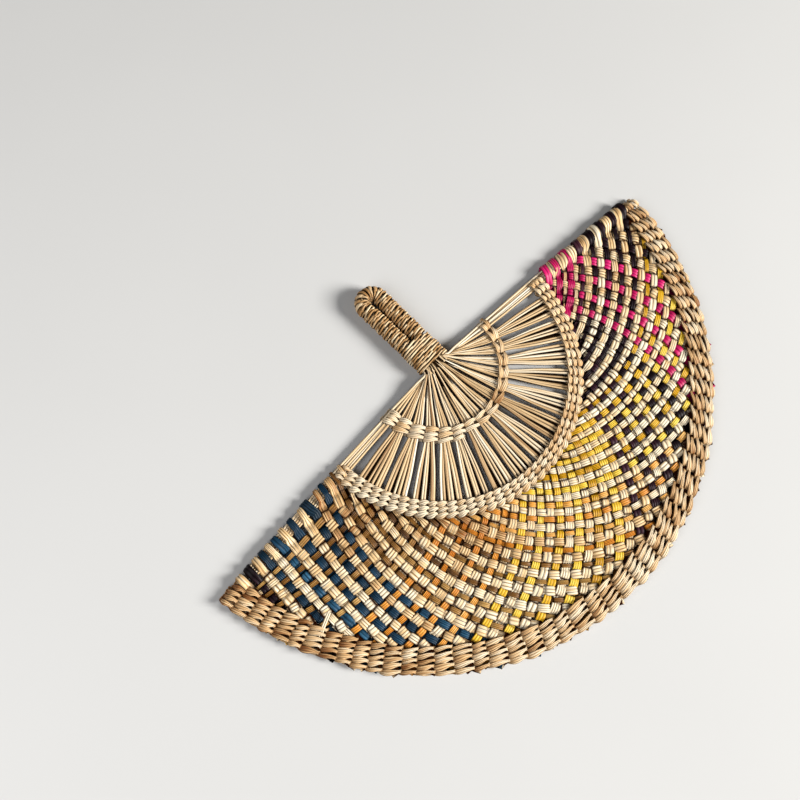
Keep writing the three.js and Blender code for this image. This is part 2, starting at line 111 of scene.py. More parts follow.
def strawMaterial(name, look):
    material = bpy.data.materials.new(name)
    material.use_nodes = True
    tree = material.node_tree
    shader = tree.nodes["Principled BSDF"]
    place = addNode(tree, "ShaderNodeUVMap", {"uv_map": "strawMap"})
    tone = addNode(tree, "ShaderNodeAttribute", {"attribute_name": "tone"})
    # fibres run along the straw, each about as wide as a thread
    fibreScale = (1 / look["fibreWidth"], 1 / look["fibreLength"], 1)
    fibrePlace = addNode(tree, "ShaderNodeMapping", values={"Scale": fibreScale},
                         links={"Vector": place.outputs[0]})
    fibre = addNode(tree, "ShaderNodeTexNoise",
                    values={"Scale": 1, "Detail": look["fibreDetail"], "Roughness": look["fibreBreak"]},
                    links={"Vector": fibrePlace.outputs[0]})
    blotchScale = (1 / look["blotchWidth"], 1 / look["blotchLength"], 1)
    blotchPlace = addNode(tree, "ShaderNodeMapping", values={"Scale": blotchScale},
                          links={"Vector": place.outputs[0]})
    blotch = addNode(tree, "ShaderNodeTexNoise", values={"Scale": 1, "Detail": look["blotchDetail"]},
                     links={"Vector": blotchPlace.outputs[0]})
    # ribs repeat across the straw, and painted shade darkens the hollows between them
    rib = addNode(tree, "ShaderNodeTexWave", {"bands_direction": "X"},
                  {"Scale": waveLength / ribWidth, "Phase Offset": math.pi}, {"Vector": place.outputs[0]})
    toned = addNode(tree, "ShaderNodeMath", {"operation": "MULTIPLY_ADD"}, {1: look["fibreShare"]},
                    {0: fibre.outputs[0], 2: tone.outputs["Fac"]})
    mottled = addNode(tree, "ShaderNodeMath", {"operation": "MULTIPLY_ADD"}, {1: look["blotchShare"]},
                      {0: blotch.outputs[0], 2: toned.outputs[0]})
    middle = (look["fibreShare"] + look["blotchShare"]) / 2 + 0.5  # both noises and the tone average a half
    spread = addNode(tree, "ShaderNodeMapRange",
                     values={"From Min": middle - look["contrast"], "From Max": middle + look["contrast"]},
                     links={"Value": mottled.outputs[0]})
    ramp = addNode(tree, "ShaderNodeValToRGB", links={0: spread.outputs[0]})
    ramp.color_ramp.elements[0].color = linear(look["deep"])
    ramp.color_ramp.elements[1].color = linear(look["pale"])
    ramp.color_ramp.elements.new(0.5).color = linear(look["body"])
    hollow = addNode(tree, "ShaderNodeMapRange",
                     values={"From Min": look["hollowSpan"][0], "From Max": look["hollowSpan"][1],
                             "To Min": look["hollowShare"], "To Max": 0},
                     links={"Value": rib.outputs["Fac"]})
    broken = addNode(tree, "ShaderNodeMapRange",
                     values={"From Min": look["brokenSpan"][0], "From Max": look["brokenSpan"][1],
                             "To Min": look["brokenLeast"], "To Max": 1},
                     links={"Value": blotch.outputs[0]})
    lines = addNode(tree, "ShaderNodeMath", {"operation": "MULTIPLY"},
                    links={0: hollow.outputs[0], 1: broken.outputs[0]})
    # painted shade: the shade attribute darkens crevices, gaps and undersides towards the hollow colour,
    # together with the hollow lines
    shade = addNode(tree, "ShaderNodeAttribute", {"attribute_name": "shade"})
    crevice = addNode(tree, "ShaderNodeMapRange",
                      values={"From Min": look["creviceSpan"][0], "From Max": look["creviceSpan"][1]},
                      links={"Value": shade.outputs["Fac"]})
    dark = addNode(tree, "ShaderNodeMath", {"operation": "MAXIMUM", "use_clamp": True},
                   links={0: lines.outputs[0], 1: crevice.outputs[0]})
    colour = addNode(tree, "ShaderNodeMix", {"data_type": "RGBA"}, {7: linear(look["hollow"])},
                     {0: dark.outputs[0], 6: ramp.outputs[0]})
    height = addNode(tree, "ShaderNodeMath", {"operation": "MULTIPLY_ADD"}, {1: look["ribHeight"]},
                     {0: rib.outputs["Fac"], 2: fibre.outputs[0]})
    bump = addNode(tree, "ShaderNodeBump",
                   values={"Strength": look["bump"], "Distance": look["bumpDepth"] * mm},
                   links={"Height": height.outputs[0]})
    gloss = addNode(tree, "ShaderNodeMapRange",
                    values={"To Min": look["roughness"] - look["roughnessSpread"],
                            "To Max": look["roughness"] + look["roughnessSpread"]},
                    links={"Value": fibre.outputs[0]})
    # where shade is painted, in the hollows and crevices, the sheen is taken away as well
    sheen = addNode(tree, "ShaderNodeMath", {"operation": "MULTIPLY_ADD"},
                    {1: -look["shine"], 2: look["shine"]}, {0: dark.outputs[0]})
    tree.links.new(colour.outputs[2], shader.inputs["Base Color"])
    tree.links.new(gloss.outputs[0], shader.inputs["Roughness"])
    tree.links.new(bump.outputs[0], shader.inputs["Normal"])
    tree.links.new(sheen.outputs[0], shader.inputs["Specular IOR Level"])
    return material


straws = dict(strip, fibreWidth=0.4, fibreLength=40, blotchLength=30, fibreShare=1.3)
dyed = dict(strip, fibreShare=1.5, hollowShare=0.6, shine=0.4)
# sun-dried palm straw, split and smooth: pale and satin, with painted shade in the hollows along its ribs
naturalStraw = strawMaterial("sunDriedPalmStraw", dict(
    straws, pale="#FFF5E0", body="#E2C192", deep="#8E6640", hollow="#1E1107"))
naturalStrip = strawMaterial("naturalPalmStrip", dict(
    strip, hollowShare=0.76, pale="#FFF3D8", body="#ECC68E", deep="#8E5420", hollow="#2C1004"))
# damp-twisted straw of the rows: a touch redder, each stitch ribbed along its length
twinedStraw = strawMaterial("twinedPalmStraw", dict(
    strip, hollowShare=0.7, shine=0.16, pale="#FFEED0", body="#E8BE88", deep="#8C562A", hollow="#1E0E06"))
# hand-spun cord of the handle: tan and dull, with painted shade between its plies
spunCord = strawMaterial("handSpunPalmCord", dict(
    straws, pale="#FFE8C0", body="#B88C58", deep="#66401C", hollow="#160902", roughness=0.5))
# vat-dyed strips: the dye sits unevenly along the fibres, and brown lets some straw show through
dyes = {
    "magenta": strawMaterial("magentaDyedStrip", dict(
        dyed, pale="#E21E76", body="#C60A5A", deep="#860840", hollow="#3C021A")),
    "aubergine": strawMaterial("aubergineDyedStrip", dict(
        dyed, shine=0.15, pale="#40202C", body="#180A11", deep="#0A0407", hollow="#040203")),
    "yellow": strawMaterial("yellowDyedStrip", dict(
        dyed, pale="#FDDA50", body="#EBB51C", deep="#B07A0A", hollow="#3A2204")),
    "orange": strawMaterial("orangeDyedStrip", dict(
        dyed, pale="#FFD68A", body="#F4A63E", deep="#CA7820", hollow="#3A1B05")),
    "brown": strawMaterial("ochreDyedStrip", dict(
        dyed, pale="#DAB068", body="#98682C", deep="#50300E", hollow="#1C0C02")),
    "blue": strawMaterial("indigoDyedStrip", dict(
        dyed, shine=0.25, pale="#376C8C", body="#0C344D", deep="#071F2D", hollow="#03080C")),
}
print("materials ready:", len(bpy.data.materials))


# outlines of a straw across its run: sideways and upward shares, and how much painted shade lies there
flatStraw = {
    "edge": (0.5, 0.02, 1), "shoulder": (0.45, 0.3, 0.5), "shoulderFall": 0.4,
    "below": [(0.42, -0.34, 0.3), (0, -0.5, 0.1), (-0.42, -0.34, 0.3)],
}
roundStraw = {"paintedShadeTo": 0.32}  # painted shade thins out to this share of the height


def ribbedSection(ribs, dip, dome):  # flat straw: ribs above, gently rounded below, with painted shade at its edges and underneath
    above = []
    for step in range(1, 2 * ribs):
        sideways = step / (2 * ribs) - 0.5
        above.append((sideways, 0.5 - 2 * dome * sideways ** 2 - dip * (step % 2 == 0), 0))
    sideways, lift, paintedShade = flatStraw["shoulder"]
    right = [(sideways, lift - flatStraw["shoulderFall"] * dome, paintedShade), flatStraw["edge"]]
    left = [(-sideways, lift, paintedShade) for sideways, lift, paintedShade in right[::-1]]
    return {"outline": left + above + right + flatStraw["below"], "ribs": ribs}


def roundSection(sides, dark):  # painted shade lies on the under side, or on the upper side if dark is negative
    outline = []
    for side in range(sides):
        turn = 2 * math.pi * side / sides
        lift = 0.5 * math.sin(turn)
        paintedShade = abs(dark) * max(0, roundStraw["paintedShadeTo"] - math.copysign(lift, lift * dark))
        outline.append((0.5 * math.cos(turn), lift, paintedShade))
    return {"outline": outline, "ribs": 1}


stripSections = [ribbedSection(ribs, dip=0.3, dome=0.25) for ribs in (2, 3, 3, 4)]
stitchSection = ribbedSection(ribs=3, dip=0.14, dome=0.35)
# round sections carry painted shade: on their undersides and flanks, and on the upper side of the lower
# spoke straws
strawSection = roundSection(sides=10, dark=2.4)
lowStrawSection = roundSection(sides=8, dark=-1.4)
edgeStrawSection = roundSection(sides=10, dark=1.3)
plySection = roundSection(sides=8, dark=2.6)
pattern = {"jump": 7919, "length": 400}  # every straw shows its own stretch of the fibres
joining = {"mergeDistance": 1e-8, "sharpAngle": 60}


def newMesh():
    mesh = bmesh.new()
    mesh.loops.layers.uv.new("strawMap")
    mesh.verts.layers.float.new("tone")
    mesh.verts.layers.float.new("shade")
    return mesh


# rolls a grid into one straw along its stations: point, the way its face looks, width, thickness and shade
def layStraw(mesh, stations, section, tone):
    outline, ribs = section["outline"], section["ribs"]
    rows, sides = len(stations), len(outline)
    points = [station[0] for station in stations]
    runs = [points[min(at + 1, rows - 1)] - points[max(at - 1, 0)] for at in range(rows)]
    grid = bmesh.ops.create_grid(mesh, x_segments=rows - 1, y_segments=sides, size=0.5)["verts"]
    toneLayer = mesh.verts.layers.float["tone"]
    shadeLayer = mesh.verts.layers.float["shade"]
    mapLayer = mesh.loops.layers.uv["strawMap"]
    tones = tone if isinstance(tone, list) else [tone] * rows
    lengths = [tones[0] * pattern["jump"] % pattern["length"]]
    for at in range(1, rows):
        lengths.append(lengths[-1] + (points[at] - points[at - 1]).length)
    halfRib = 0 if ribs % 2 else 0.5  # puts the pattern's hollows between the modelled ribs
    spots = {}
    for vert in grid:
        at = round((vert.co.x + 0.5) * (rows - 1))
        side = round((vert.co.y + 0.5) * sides)
        point, facing, width, thickness, shade = stations[at]
        across = runs[at].cross(facing).normalized()
        up = across.cross(runs[at]).normalized()
        sideways, lift, paintedShade = outline[side % sides]
        spots[vert] = ((sideways * ribs + halfRib) * ribWidth, lengths[at])
        vert.co = (point + across * sideways * width + up * lift * thickness) * mm
        vert[toneLayer] = tones[at]
        # the shade attribute takes the painted shade of the station or of the outline, whichever is darker
        vert[shadeLayer] = max(shade, paintedShade)
    for face in {face for vert in grid for face in vert.link_faces}:
        for loop in face.loops:
            loop[mapLayer].uv = spots[loop.vert]


def finishPiece(name, mesh, material, nodes=()):
    bmesh.ops.remove_doubles(mesh, verts=mesh.verts, dist=joining["mergeDistance"])
    rims = [edge for edge in mesh.edges if edge.is_boundary]
    bmesh.ops.holes_fill(mesh, edges=rims, sides=0)
    bmesh.ops.recalc_face_normals(mesh, faces=mesh.faces)
    data = bpy.data.meshes.new(name)
    mesh.to_mesh(data)
    mesh.free()
    data.shade_smooth()
    data.set_sharp_from_angle(angle=math.radians(joining["sharpAngle"]))
    data.materials.append(material)
    piece = bpy.data.objects.new(name, data)
    bpy.context.scene.collection.objects.link(piece)
    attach(piece, "root")
    if nodes:
        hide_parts(*nodes)


def smoothRun(knots, perSpan):  # a curve through the knots, each a list of numbers
    ends = [knots[0]] + knots + [knots[-1]]
    run = []
    for span in range(len(knots) - 1):
        before, first, last, after = ends[span:span + 4]
        for step in range(perSpan):
            share = step / perSpan
            square, cube = share ** 2, share ** 3
            run.append([
                0.5 * (2 * b + (c - a) * share + (2 * a - 5 * b + 4 * c - d) * square
                       + (3 * b - a - 3 * c + d) * cube)
                for a, b, c, d in zip(before, first, last, after)
            ])
    return run + [knots[-1]]


weave = {
    "seed": 4,
    "centreDrop": 6,          # both families of strips turn about this place below the rim's centre
    "startRadius": 95,        # where the strips' angles are counted
    "hideRadius": 88.5,       # the strips begin out of sight under the band
    "edgeTurn": 4.8,          # strips leave the field this close to the edge straws and fold over them
    "rimEnd": 184, "rimRagged": 1.3,
    "step": 1.25, "leastPoints": 6, "leastStations": 4,  # shorter scraps are left out
    "thickness": 0.9, "widest": 6.4, "widthSpread": 0.11,
    "filled": {"natural": 0.98, "dyed": 0.86},  # share of the room between neighbours that a strip takes up
    "filledSpread": (0.88, 1.06),
    "roomProbe": 0.5, "leastGradient": 0.12,
    "wave": 0.82, "crestPower": 0.55, "crestSpread": 0.14,  # over and under, with blunt crests
    "flatShare": 0.65, "flatByBand": (90, 94), "flatByRim": (-177, -171),  # strips lie flatter by the rows
    "crossings": 90, "crossingShift": 25,
    "sway": 0.3, "swayTurn": 6.28, "swaySteps": (0.13, 0.17),
    "narrowShare": 0.55, "narrowSpan": (95.5, 98.5),  # natural across strips leave the band narrow
    "roundFrom": 95, "lowFrom": 92.6, "lowHeight": 2.1, "riseUnder": -0.5,  # round strips come up from below
    # painted shade: strips are darkened where they dip between crossings, by the edge of the band and under
    # the rim rows
    "crossingDark": (0.05, 0.5), "bandDark": 0.75, "bandDarkSpan": (91.8, 94),
    "rimDark": 0.9, "rimDarkFrom": (168, 171), "rimDarkTo": (183.4, 184.6),
    "dyedTones": (0.15, 0.9),
    "across": {
        "first": -10, "last": 52,
        "start": 30, "pitch": 3.425, "widening": 0.005125, "leastRoot": 0.1,  # degrees, by a strip's number
        "slope": 0.70, "steepening": 0.0035, "steepBelow": 45,  # degrees for a mm outward, more on the right
        "runBefore": 8, "runHighest": 186, "runLowest": -6, "runStep": 0.25,
        "swell": (6, 13), "swellStarts": (180, 195), "swellFrom": 150, "swellWithin": 26, "swellTries": 4,
        # from one strip to another: widths of the natural and of the dyed ones, some crowd their neighbours
        "shares": [(-10, 0, 0.65, 1.55), (0, 12, 1.2, 0.8), (26, 40, 1.2, 0.7)],
        "tones": (0.3, 1, 0.85), "sunned": 0.2,
        "dyes": [(-1, "magenta"), (4, "aubergine"), (10, "yellow"), (14, "orange"), (19, "brown"),
                 (24, "blue"), (99, "aubergine")],
    },
    "round": {
        "first": -13, "last": 46,
        "start": -2, "pitch": 3.7,
        "sweep": 32, "sweepEnd": 173, "sweepFade": 36, "sweepReach": 72, "sweepBack": 0.2, "backBelow": 17,
        "searchFrom": -90, "searchTo": 172, "searchSteps": 26,
        "runBefore": 2, "runFarthest": 190, "runStep": 0.5,
        "shares": [(-13, 24, 0.88, 1.1), (24, 30, 0.9, 0.92), (30, 47, 1.06, 0.72)],
        "tones": (0.35, 1, 0.85), "sunned": 0.08,
        "dyes": [(-1, "aubergine"), (3, "magenta"), (8, "aubergine"), (14, "yellow"), (18, "orange"),
                 (99, "brown")],
    },
    "fold": {
        "reach": 4.3, "height": 2.3,  # half the width and half the height of the turn
        "from": 52, "to": 318, "step": 19,  # degrees round the edge straws
        "within": 3, "rimLimit": 172, "naturalLeft": 0.72,
        "driftLeast": 0.5, "driftShare": 0.9, "driftBend": 1.2, "pinch": 0.7,
        # how folds differ: the width is in mm on the right and a share of the strip's own on the left
        "right": {"width": (5.8, 7.4), "slip": 1.6, "puff": (1.2, 1.7), "bulge": (1.05, 1.3), "roll": 0.45},
        "left": {"width": (0.75, 1.35), "slip": 2.2, "puff": (0.85, 1.35), "bulge": (0.95, 1.15),
                 "roll": 0.75},
    },
    "wear": {  # shares of the tone, by angle and by distance from the middle
        "browned": 0.33, "brownedAfter": 29, "brownedAngles": (95, 125), "brownedReach": (100, 150),
        "folded": 0.2, "sunnedAngles": (55, 85), "dulled": 0.3, "dulledAngles": (18, 36),
    },
    "looseEnd": {"knots": [(-160, -72, 3.8), (-154, -69, 6.2), (-147, -66, 7.2)], "perSpan": 5,
                 "width": 2.4, "thickness": 0.8, "tone": 0.9},
}
weaveCentre = rimCentre - Vector((0, weave["centreDrop"], 0))


def polar(point):
    away = point - weaveCentre
    degrees = math.degrees(math.atan2(-away.y, away.x)) % 360
    return (degrees - 360 if degrees > 270 else degrees), away.length


def acrossStart(index):
    lay = weave["across"]
    return lay["start"] + lay["pitch"] * index + lay["widening"] * index * index


def acrossSlope(start):
    lay = weave["across"]
    return lay["slope"] + lay["steepening"] * max(0, lay["steepBelow"] - start)


def leftSwell(start, degrees):  # the last strips hang straight down from the left edge
    lay = weave["across"]
    beyond = max(0, degrees - lay["swellFrom"]) / lay["swellWithin"]
    return mix(*lay["swell"], ease(start, *lay["swellStarts"])) * beyond ** 2


def acrossIndex(degrees, radius):
    lay = weave["across"]
    reach = radius - weave["startRadius"]
    start = (degrees + acrossSlope(0) * reach) / (1 + lay["steepening"] * reach)
    if start > lay["steepBelow"]:
        start = degrees + lay["slope"] * reach
        for again in range(lay["swellTries"] if degrees > lay["swellFrom"] else 0):
            start = degrees + lay["slope"] * (reach - leftSwell(start, degrees))
    root = lay["pitch"] ** 2 + 4 * lay["widening"] * (start - lay["start"])
    return (-lay["pitch"] + math.sqrt(max(lay["leastRoot"], root))) / (2 * lay["widening"])


def roundSweep(start):
    lay = weave["round"]
    swept = 1 - math.exp(-(lay["sweepEnd"] - start) / lay["sweepFade"])
    return lay["sweep"] * swept - lay["sweepBack"] * max(0, lay["backBelow"] - start)


def roundIndex(degrees, radius):
    lay = weave["round"]
    share = (radius - weave["startRadius"]) / lay["sweepReach"]
    low, high = lay["searchFrom"], lay["searchTo"]
    for again in range(lay["searchSteps"]):
        middle = (low + high) / 2
        if middle + roundSweep(middle) * share < degrees:
            low = middle
        else:
            high = middle
    return (low - lay["start"]) / lay["pitch"]


# plan points of one strip, from the band or the left edge to the rim or the right edge
def acrossRun(index, rimEnd):
    lay = weave["across"]
    start = acrossStart(index)
    slope = acrossSlope(start)
    run = []
    degrees = min(start + lay["runBefore"], lay["runHighest"])
    while degrees > lay["runLowest"]:
        radius = weave["startRadius"] + (start - degrees) / slope + leftSwell(start, degrees)
        run.append(weaveCentre + ray(degrees) * radius)
        degrees -= lay["runStep"]
    return keepInside(run, rimEnd)


def roundRun(index, rimEnd):
    lay = weave["round"]
    start = lay["start"] + lay["pitch"] * index
    run = []
    radius = weave["hideRadius"] - lay["runBefore"]
    while radius < lay["runFarthest"]:
        degrees = start + roundSweep(start) * (radius - weave["startRadius"]) / lay["sweepReach"]
        run.append(weaveCentre + ray(degrees) * radius)
        radius += lay["runStep"]
    return keepInside(run, rimEnd)


def keepInside(run, rimEnd):
    def inside(point):
        clear = min(edgeDepth(point, 1), edgeDepth(point, -1)) > weave["edgeTurn"]
        beyondBand = (point - weaveCentre).length > weave["hideRadius"]
        return clear and beyondBand and (point - rimCentre).length < rimEnd
    kept = [point for point in run if inside(point)]
    spaced = kept[:1]
    for point in kept:
        if (point - spaced[-1]).length >= weave["step"]:
            spaced.append(point)
    return spaced


def localRoom(indexOf, point):  # distance between neighbouring strips of a family
    probe = weave["roomProbe"]
    here = indexOf(*polar(point))
    gradient = Vector((
        indexOf(*polar(point + Vector((probe, 0, 0)))) - here,
        indexOf(*polar(point + Vector((0, probe, 0)))) - here, 0)) / probe
    return 1 / max(gradient.length, weave["leastGradient"])


def reachesEdge(point, side):
    fold = weave["fold"]
    near = edgeDepth(point, side) < weave["edgeTurn"] + fold["within"]
    return near and (point - rimCentre).length < fold["rimLimit"]


# a strip goes over the edge straws, round their outer side and back under the weave
def foldStations(point, run, side, stripWidth, draw):
    fold = weave["fold"]
    slope = math.radians(leaf["edgeSlope"])
    outward = Vector((side * math.cos(slope), -math.sin(slope), 0))
    inward = Vector((-side * math.sin(slope), -math.cos(slope), 0))
    reach = (point - neck).dot(outward)
    heading = run.normalized()
    loose = fold["right" if side > 0 else "left"]
    width = draw.uniform(*loose["width"]) * (1 if side > 0 else stripWidth)
    slip = draw.uniform(-loose["slip"], loose["slip"])
    puff = draw.uniform(*loose["puff"])
    bulge = draw.uniform(*loose["bulge"])
    roll = draw.uniform(-loose["roll"], loose["roll"])
    drift = heading.dot(outward) / max(fold["driftLeast"], -heading.dot(inward)) * fold["reach"]
    stations = []
    for turn in range(fold["from"], fold["to"] + 1, fold["step"]):
        angle = math.radians(turn)
        depth = fold["reach"] * math.cos(angle) * (bulge if 90 < turn < 270 else 1)
        along = reach + drift * min(1, (turn / 180) ** fold["driftBend"]) * fold["driftShare"]
        along += slip * math.sin(angle / 2) - drift * max(0, turn - 180) / 180
        height = leaf["strawsHeight"] + fold["height"] * (puff if turn < 180 else 1) * math.sin(angle)
        facing = inward * math.cos(angle) / fold["reach"] + upright * math.sin(angle) / fold["height"]
        facing = facing.normalized() + outward * roll * max(0, math.sin(angle))
        spot = neck + outward * along + inward * depth
        pinched = width * mix(fold["pinch"], 1, abs(math.sin(angle)))
        stations.append((Vector((spot.x, spot.y, height)), facing, pinched, weave["thickness"], 0))
    return stations


def weaveStrip(mesh, family, index, draw):
    lay, wear = weave[family], weave["wear"]
    isAcross = family == "across"
    natural = index % 2  # every second strip is left undyed
    rimEnd = weave["rimEnd"] + draw.uniform(-1, 1) * weave["rimRagged"]
    run = acrossRun(index, rimEnd) if isAcross else roundRun(index, rimEnd)
    if len(run) < weave["leastPoints"]:
        return
    indexOf = acrossIndex if isAcross else roundIndex
    wander = draw.uniform(0, weave["swayTurn"])
    filled = weave["filled"]["natural" if natural else "dyed"] * draw.uniform(*weave["filledSpread"])
    for first, last, naturalShare, dyedShare in lay["shares"]:
        if first <= index < last:
            filled *= naturalShare if natural else dyedShare
    floats = [(draw.uniform(-1, 1), draw.uniform(-1, 1)) for crossed in range(weave["crossings"])]
    risen = isAcross
    stations = []
    for at, point in enumerate(run):
        degrees, radius = polar(point)
        if not isAcross and radius < weave["lowFrom"]:
            continue
        acrossAt, roundAt = acrossIndex(degrees, radius), roundIndex(degrees, radius)
        crossing = math.cos(math.pi * (acrossAt + roundAt))
        risen = risen or radius > weave["roundFrom"] and crossing < weave["riseUnder"]
        rimReach = (point - rimCentre).length
        wider, higher = floats[round(roundAt if isAcross else acrossAt) + weave["crossingShift"]]
        crest = math.copysign(abs(crossing) ** weave["crestPower"], crossing)
        crest *= 1 + weave["crestSpread"] * higher
        full = ease(-rimReach, *weave["flatByRim"]) * ease(radius, *weave["flatByBand"])
        wave = weave["wave"] * mix(weave["flatShare"], 1, full)
        height = leaf["strawsHeight"] + wave * (-crest if isAcross else crest)
        width = min(weave["widest"], filled * localRoom(indexOf, point)) * (1 + weave["widthSpread"] * wider)
        if isAcross and natural:
            width *= mix(weave["narrowShare"], 1, ease(radius, *weave["narrowSpan"]))
        swayX, swayY = (at * step for step in weave["swaySteps"])
        sway = Vector((math.sin(wander + swayX), math.cos(wander * 2 + swayY), 0)) * weave["sway"]
        # painted shade in the gaps: under the rim rows, by the band and where a strip dips between crossings
        rimDark = ease(rimReach, *weave["rimDarkFrom"]) * (1 - ease(rimReach, *weave["rimDarkTo"]))
        bandDark = 1 - ease(radius, *weave["bandDarkSpan"])
        crossingDark = 1 - ease(abs(crossing), *weave["crossingDark"])
        shade = max(weave["rimDark"] * rimDark, crossingDark, weave["bandDark"] * bandDark)
        # painted shade: before a round strip rises it lies low and is painted fully dark, filling the holes
        # by the band
        if not risen:
            height, shade = weave["lowHeight"], 1
        spot = Vector((point.x, point.y, height)) + sway
        stations.append((spot, upright, width, weave["thickness"], shade))
    if len(stations) < weave["leastStations"]:
        return
    if isAcross and reachesEdge(run[-1], 1):
        stations += foldStations(run[-1], run[-1] - run[-3], 1, stations[-1][2], draw)
    if isAcross and reachesEdge(run[0], -1):
        folded = stations[0][2] * (weave["fold"]["naturalLeft"] if natural else 1)
        stations = foldStations(run[0], run[0] - run[2], -1, folded, draw)[::-1] + stations
    tone = draw.triangular(*lay["tones"])
    if not natural:
        tone = draw.uniform(*weave["dyedTones"])
    tones = []
    for point, *rest in stations:
        degrees, radius = polar(point)
        browned = wear["browned"] * (natural or index > wear["brownedAfter"])
        browned *= ease(degrees, *wear["brownedAngles"]) * (1 - ease(radius, *wear["brownedReach"]))
        folded = wear["folded"] * (edgeDepth(point, -1) < weave["edgeTurn"])
        sunned = lay["sunned"] * (1 - ease(degrees, *wear["sunnedAngles"]))
        dulled = wear["dulled"] * natural * (1 - ease(degrees, *wear["dulledAngles"]))
        tones.append(tone - max(browned, folded) + sunned - dulled)
    layStraw(mesh, stations, draw.choice(stripSections), tones)


def dyeOf(table, index):
    return next(name for last, name in table if index // 2 <= last)


draw = random.Random(weave["seed"])
woven = {name: newMesh() for name in ["naturalAcross", "naturalRound", *dyes]}
for family, naturalName in [("across", "naturalAcross"), ("round", "naturalRound")]:
    for index in range(weave[family]["first"], weave[family]["last"] + 1):
        name = naturalName if index % 2 else dyeOf(weave[family]["dyes"], index)
        weaveStrip(woven[name], family, index, draw)
looseEnd = weave["looseEnd"]
knots = [[x, y + rimCentre.y, z] for x, y, z in looseEnd["knots"]]
layStraw(woven["naturalAcross"], [
    (Vector(knot), upright, looseEnd["width"], looseEnd["thickness"], 0)
    for knot in smoothRun(knots, looseEnd["perSpan"])
], stripSections[0], looseEnd["tone"])
replaced = {"naturalAcross": ["woven_field"], "magenta": ["edge_folds_right"], "blue": ["edge_folds_left"]}
for name, mesh in woven.items():
    finishPiece(f"{name}Strips", mesh, dyes.get(name, naturalStrip),
                replaced.get(name, ()))
print("woven field laid:", len(woven), "groups of strips")


spokes = {
    "seed": 11,
    "strawWidth": 1.9, "strawThickness": 1.4, "widthSpread": (0.8, 1.15),
    # (place across at the band, at the arc, height) of each straw
    "upper": [(-6.7, -2.4, 0.1), (-4.7, -1.45, 0.5), (-1.2, -0.5, 0), (1.1, 0.5, 0.45), (4.7, 1.45, 0),
              (6.6, 2.4, 0.4)],
    "lower": [(-5.9, -2.2, -0.9), (-2.9, -1.1, -1.2), (0, 0, -0.95), (2.9, 1.1, -1.2), (5.9, 2.2, -0.9)],
    # painted light: the upper straws are toned a little paler and the lower ones darker, standing for the
    # shade beneath the upper layer
    "upperTone": 0.04, "lowerTone": -0.35, "tones": (0, 1, 0.6),
    "bandSpread": 0.5, "arcSpread": 0.25, "heightSpread": 0.1,
    "mouthWidth": 9.2, "mouthSpread": 0.7, "mouthRound": 11, "mouthY": -4.5, "mouthDepth": 4,
    "mouthHeight": 2.7, "mouthMiddle": 5.8, "insideShare": 0.93,
    "insideSlim": 0.6, "mouthSlim": 0.62, "slopeSlim": (0.64, 0.74), "arcSlim": 0.74, "slimSpan": (40, 66),
    "slopes": [(0.25, 0.72), (0.6, 0.2)],  # (share of the way to the arc, share of the height kept)
    "arcReach": 38,
    "reaches": [(38, 1), (47, 1), (66, 0.44), (90, 0)],  # (distance from the neck, how far gathered)
    "layersTo": 50, "layersShare": 0.55,  # past here the layers lie closer
    "perSpan": 5, "mouthDark": 0.8, "darkFade": 0.1,
}


# a straw runs straight from the collar's mouth to the inner arc, is gathered there and spreads to the band
def spokeStations(degrees, offsets, layer, draw):
    heading = ray(degrees)
    across = Vector((heading.y, -heading.x, 0))
    mouthX = spokes["mouthWidth"] * math.cos(math.radians(degrees))
    mouthX += draw.uniform(-spokes["mouthSpread"], spokes["mouthSpread"])
    roundness = math.sqrt(max(0, 1 - (mouthX / spokes["mouthRound"]) ** 2))
    rise = spokes["mouthMiddle"] + spokes["mouthHeight"] * draw.uniform(-1, 1) * roundness
    flat = leaf["strawsHeight"]
    mouth = Vector((mouthX, rimCentre.y + spokes["mouthY"] - spokes["mouthDepth"], 0))
    arc = neck + heading * spokes["arcReach"] + across * offsets[0]
    knots = [
        [mouthX * spokes["insideShare"], mouth.y + spokes["mouthDepth"], rise, spokes["insideSlim"]],
        [mouth.x, mouth.y, rise, spokes["mouthSlim"]],
    ]
    for share, kept in spokes["slopes"]:
        spot = mouth.lerp(arc, share)
        knots.append([spot.x, spot.y, flat + layer + kept * (rise - flat), mix(*spokes["slopeSlim"], share)])
    for reach, gathered in spokes["reaches"]:
        spot = neck + heading * reach + across * mix(offsets[1], offsets[0], gathered)
        height = flat + layer * (1 if reach < spokes["layersTo"] else spokes["layersShare"])
        knots.append([spot.x, spot.y, height, mix(spokes["arcSlim"], 1, ease(reach, *spokes["slimSpan"]))])
    stations = []
    for at, knot in enumerate(smoothRun(knots, spokes["perSpan"])):
        # painted shade where the straws leave the collar's mouth, fading over the first stations
        shade = max(0, spokes["mouthDark"] - at * spokes["darkFade"])
        width = spokes["strawWidth"] * knot[3]
        stations.append((Vector(knot[:3]), upright, width, spokes["strawThickness"], shade))
    return stations


draw = random.Random(spokes["seed"])
for bundle in range(1, leaf["bundles"] + 1):
    mesh = newMesh()
    middle = leaf["edgeSlope"] + bundle * bundleStep
    for layerName, section in [("upper", strawSection), ("lower", lowStrawSection)]:
        for offset, gathered, layer in spokes[layerName]:
            spread = offset + draw.uniform(-spokes["bandSpread"], spokes["bandSpread"])
            tight = gathered + draw.uniform(-spokes["arcSpread"], spokes["arcSpread"])
            height = layer + draw.uniform(-spokes["heightSpread"], spokes["heightSpread"])
            stations = spokeStations(middle, (tight, spread), height, draw)
            wide = draw.uniform(*spokes["widthSpread"])
            stations = [(point, facing, width * wide, thick, shade)
                        for point, facing, width, thick, shade in stations]
            tone = draw.triangular(*spokes["tones"]) + spokes[f"{layerName}Tone"]
            layStraw(mesh, stations, section, tone)
    finishPiece(f"spokeStraws{bundle}", mesh, naturalStraw, [f"spoke_{bundle}"])
print("spokes laid:", leaf["bundles"], "bundles")

